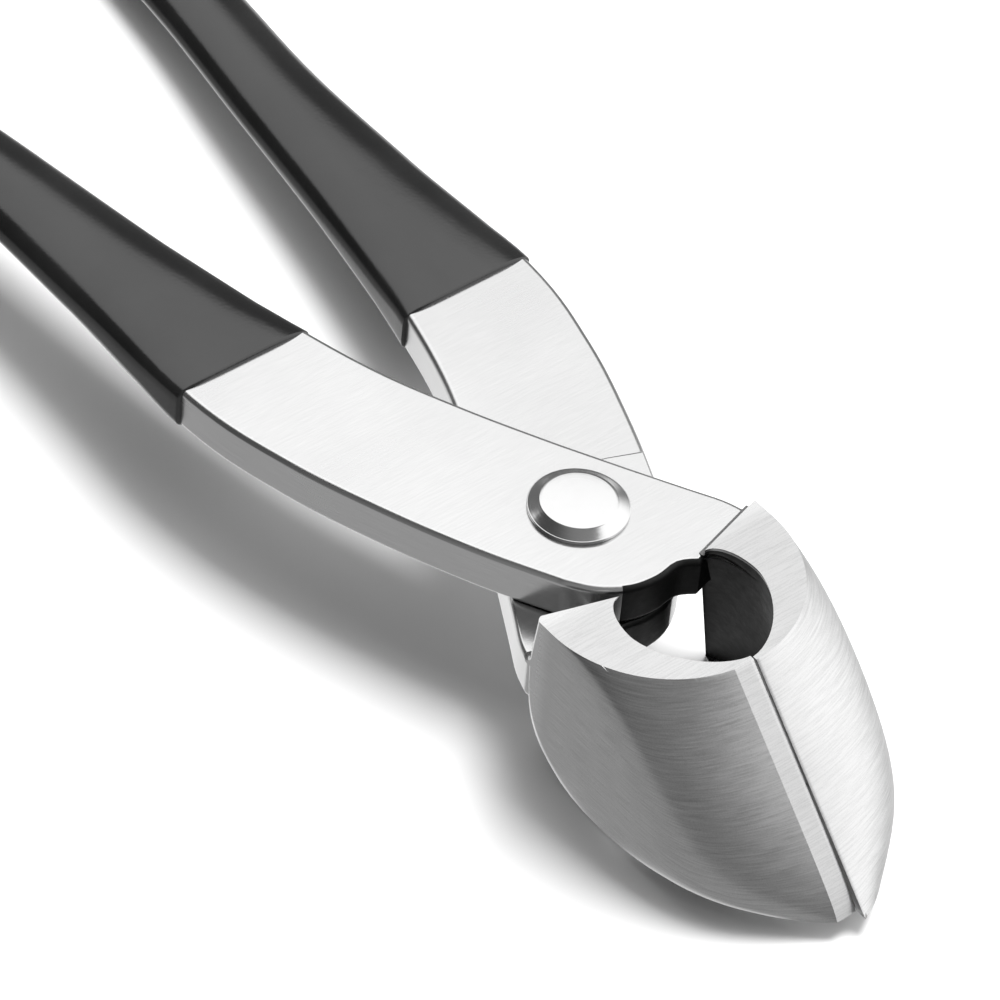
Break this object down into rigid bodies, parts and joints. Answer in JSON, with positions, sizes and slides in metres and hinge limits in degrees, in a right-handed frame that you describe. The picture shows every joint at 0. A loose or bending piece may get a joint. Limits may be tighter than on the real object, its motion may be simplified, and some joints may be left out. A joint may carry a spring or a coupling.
{
  "type": "bonsai branch cutter",
  "caption": "End-cutting pliers with crossed forged arms, a riveted pivot, hollow slanting jaws that meet at a seam, and dipped handles.",
  "frame": {"origin": "under the middle of the closed tool's box, at the level of the jaws' flat underside", "axes": "+X towards the jaw tip, +Z along the pivot axis towards the rivet head, +Y towards the handle of the lower half"},
  "size_m": [0.205, 0.0642, 0.0239],
  "materials": {
    "satin_steel": "satin ground stainless steel, bright and finely brushed, smoother on the arms",
    "polished_steel": "polished stainless steel with a soft gloss",
    "dipped_coating": "glossy black dipped vinyl with rounded edges"
  },
  "bodies": {
    "upper_body": {"upper_half": "satin_steel", "pivot_rivet": "polished_steel", "pivot_washer": "polished_steel", "upper_grip": "dipped_coating"},
    "lower_body": {"lower_half": "satin_steel", "lower_grip": "dipped_coating"}
  },
  "joints": [
    {"name": "pivot", "type": "hinge", "parent": "upper_body", "child": "lower_body", "pos_m": [0.0465, 0, 0.015], "axis": [0, 0, -1], "range_deg": [0, 35]}
  ]
}
